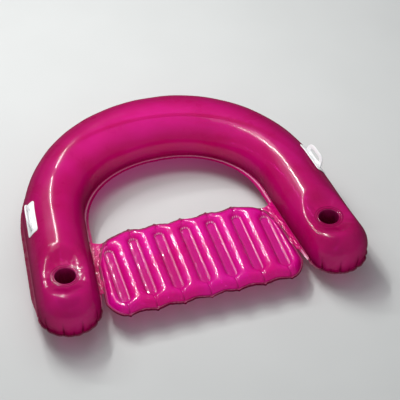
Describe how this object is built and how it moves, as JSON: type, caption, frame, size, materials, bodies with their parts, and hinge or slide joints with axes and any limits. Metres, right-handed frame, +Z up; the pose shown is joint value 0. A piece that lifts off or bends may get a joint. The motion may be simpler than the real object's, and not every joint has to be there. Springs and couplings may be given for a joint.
{
  "type": "inflatable pool lounger",
  "caption": "U-shaped inflatable lounger of clear tinted film: tube back and arms, channelled seat pad, cup wells in the arm ends, moulded handles and air valves with swinging plugs.",
  "frame": {"origin": "on the floor, in the middle of the outline's length and width", "axes": "+X to the right arm as the bather sits, -Y to the open front, +Z up"},
  "size_m": [1.2264, 1.0303, 0.2434],
  "materials": {
    "tube_film": "clear tinted, glossy",
    "seat_film": "clear tinted, glossy",
    "sleeve": "clear tinted, glossy",
    "handle": "satin",
    "valve": "clear, satin"
  },
  "bodies": {
    "float": {"tube_top_film": "tube_film", "tube_bottom_film": "tube_film", "seat_top_film": "seat_film", "seat_bottom_film": "seat_film", "seat_web_left": "tube_film", "seat_web_right": "tube_film", "cup_sleeve_left": "sleeve", "cup_sleeve_right": "sleeve", "cup_floor_left": "sleeve", "cup_floor_right": "sleeve", "handle_left": "handle", "handle_right": "handle", "tube_valve_flange": "valve", "seat_valve_flange": "valve"},
    "tube_valve_stem": {"tube_valve_stem": "valve"},
    "tube_valve_plug": {"tube_valve_plug": "valve"},
    "tube_valve_flap": {"tube_valve_flap": "valve"},
    "seat_valve_stem": {"seat_valve_stem": "valve"},
    "seat_valve_plug": {"seat_valve_plug": "valve"},
    "seat_valve_flap": {"seat_valve_flap": "valve"}
  },
  "joints": [
    {"name": "tube_valve_press", "type": "slide", "parent": "float", "child": "tube_valve_stem", "axis": [0, 0.8929, 0.4502], "range_m": [0, 0.012]},
    {"name": "tube_valve_plug_swing", "type": "hinge", "parent": "tube_valve_stem", "child": "tube_valve_plug", "pos_m": [0, 0.48914, 0.1854], "axis": [1, 0, 0], "range_deg": [0, 160]},
    {"name": "tube_valve_flap_swing", "type": "hinge", "parent": "tube_valve_stem", "child": "tube_valve_flap", "pos_m": [0, 0.47094, 0.17107], "axis": [-1, 0, 0], "range_deg": [0, 35]},
    {"name": "seat_valve_press", "type": "slide", "parent": "float", "child": "seat_valve_stem", "axis": [0, 0, -1], "range_m": [0, 0.012]},
    {"name": "seat_valve_plug_swing", "type": "hinge", "parent": "seat_valve_stem", "child": "seat_valve_plug", "pos_m": [0.24502, -0.19087, 0.04685], "axis": [1, 0, 0], "range_deg": [0, 160]},
    {"name": "seat_valve_flap_swing", "type": "hinge", "parent": "seat_valve_stem", "child": "seat_valve_flap", "pos_m": [0.24502, -0.19547, 0.06955], "axis": [-1, 0, 0], "range_deg": [0, 35]}
  ]
}
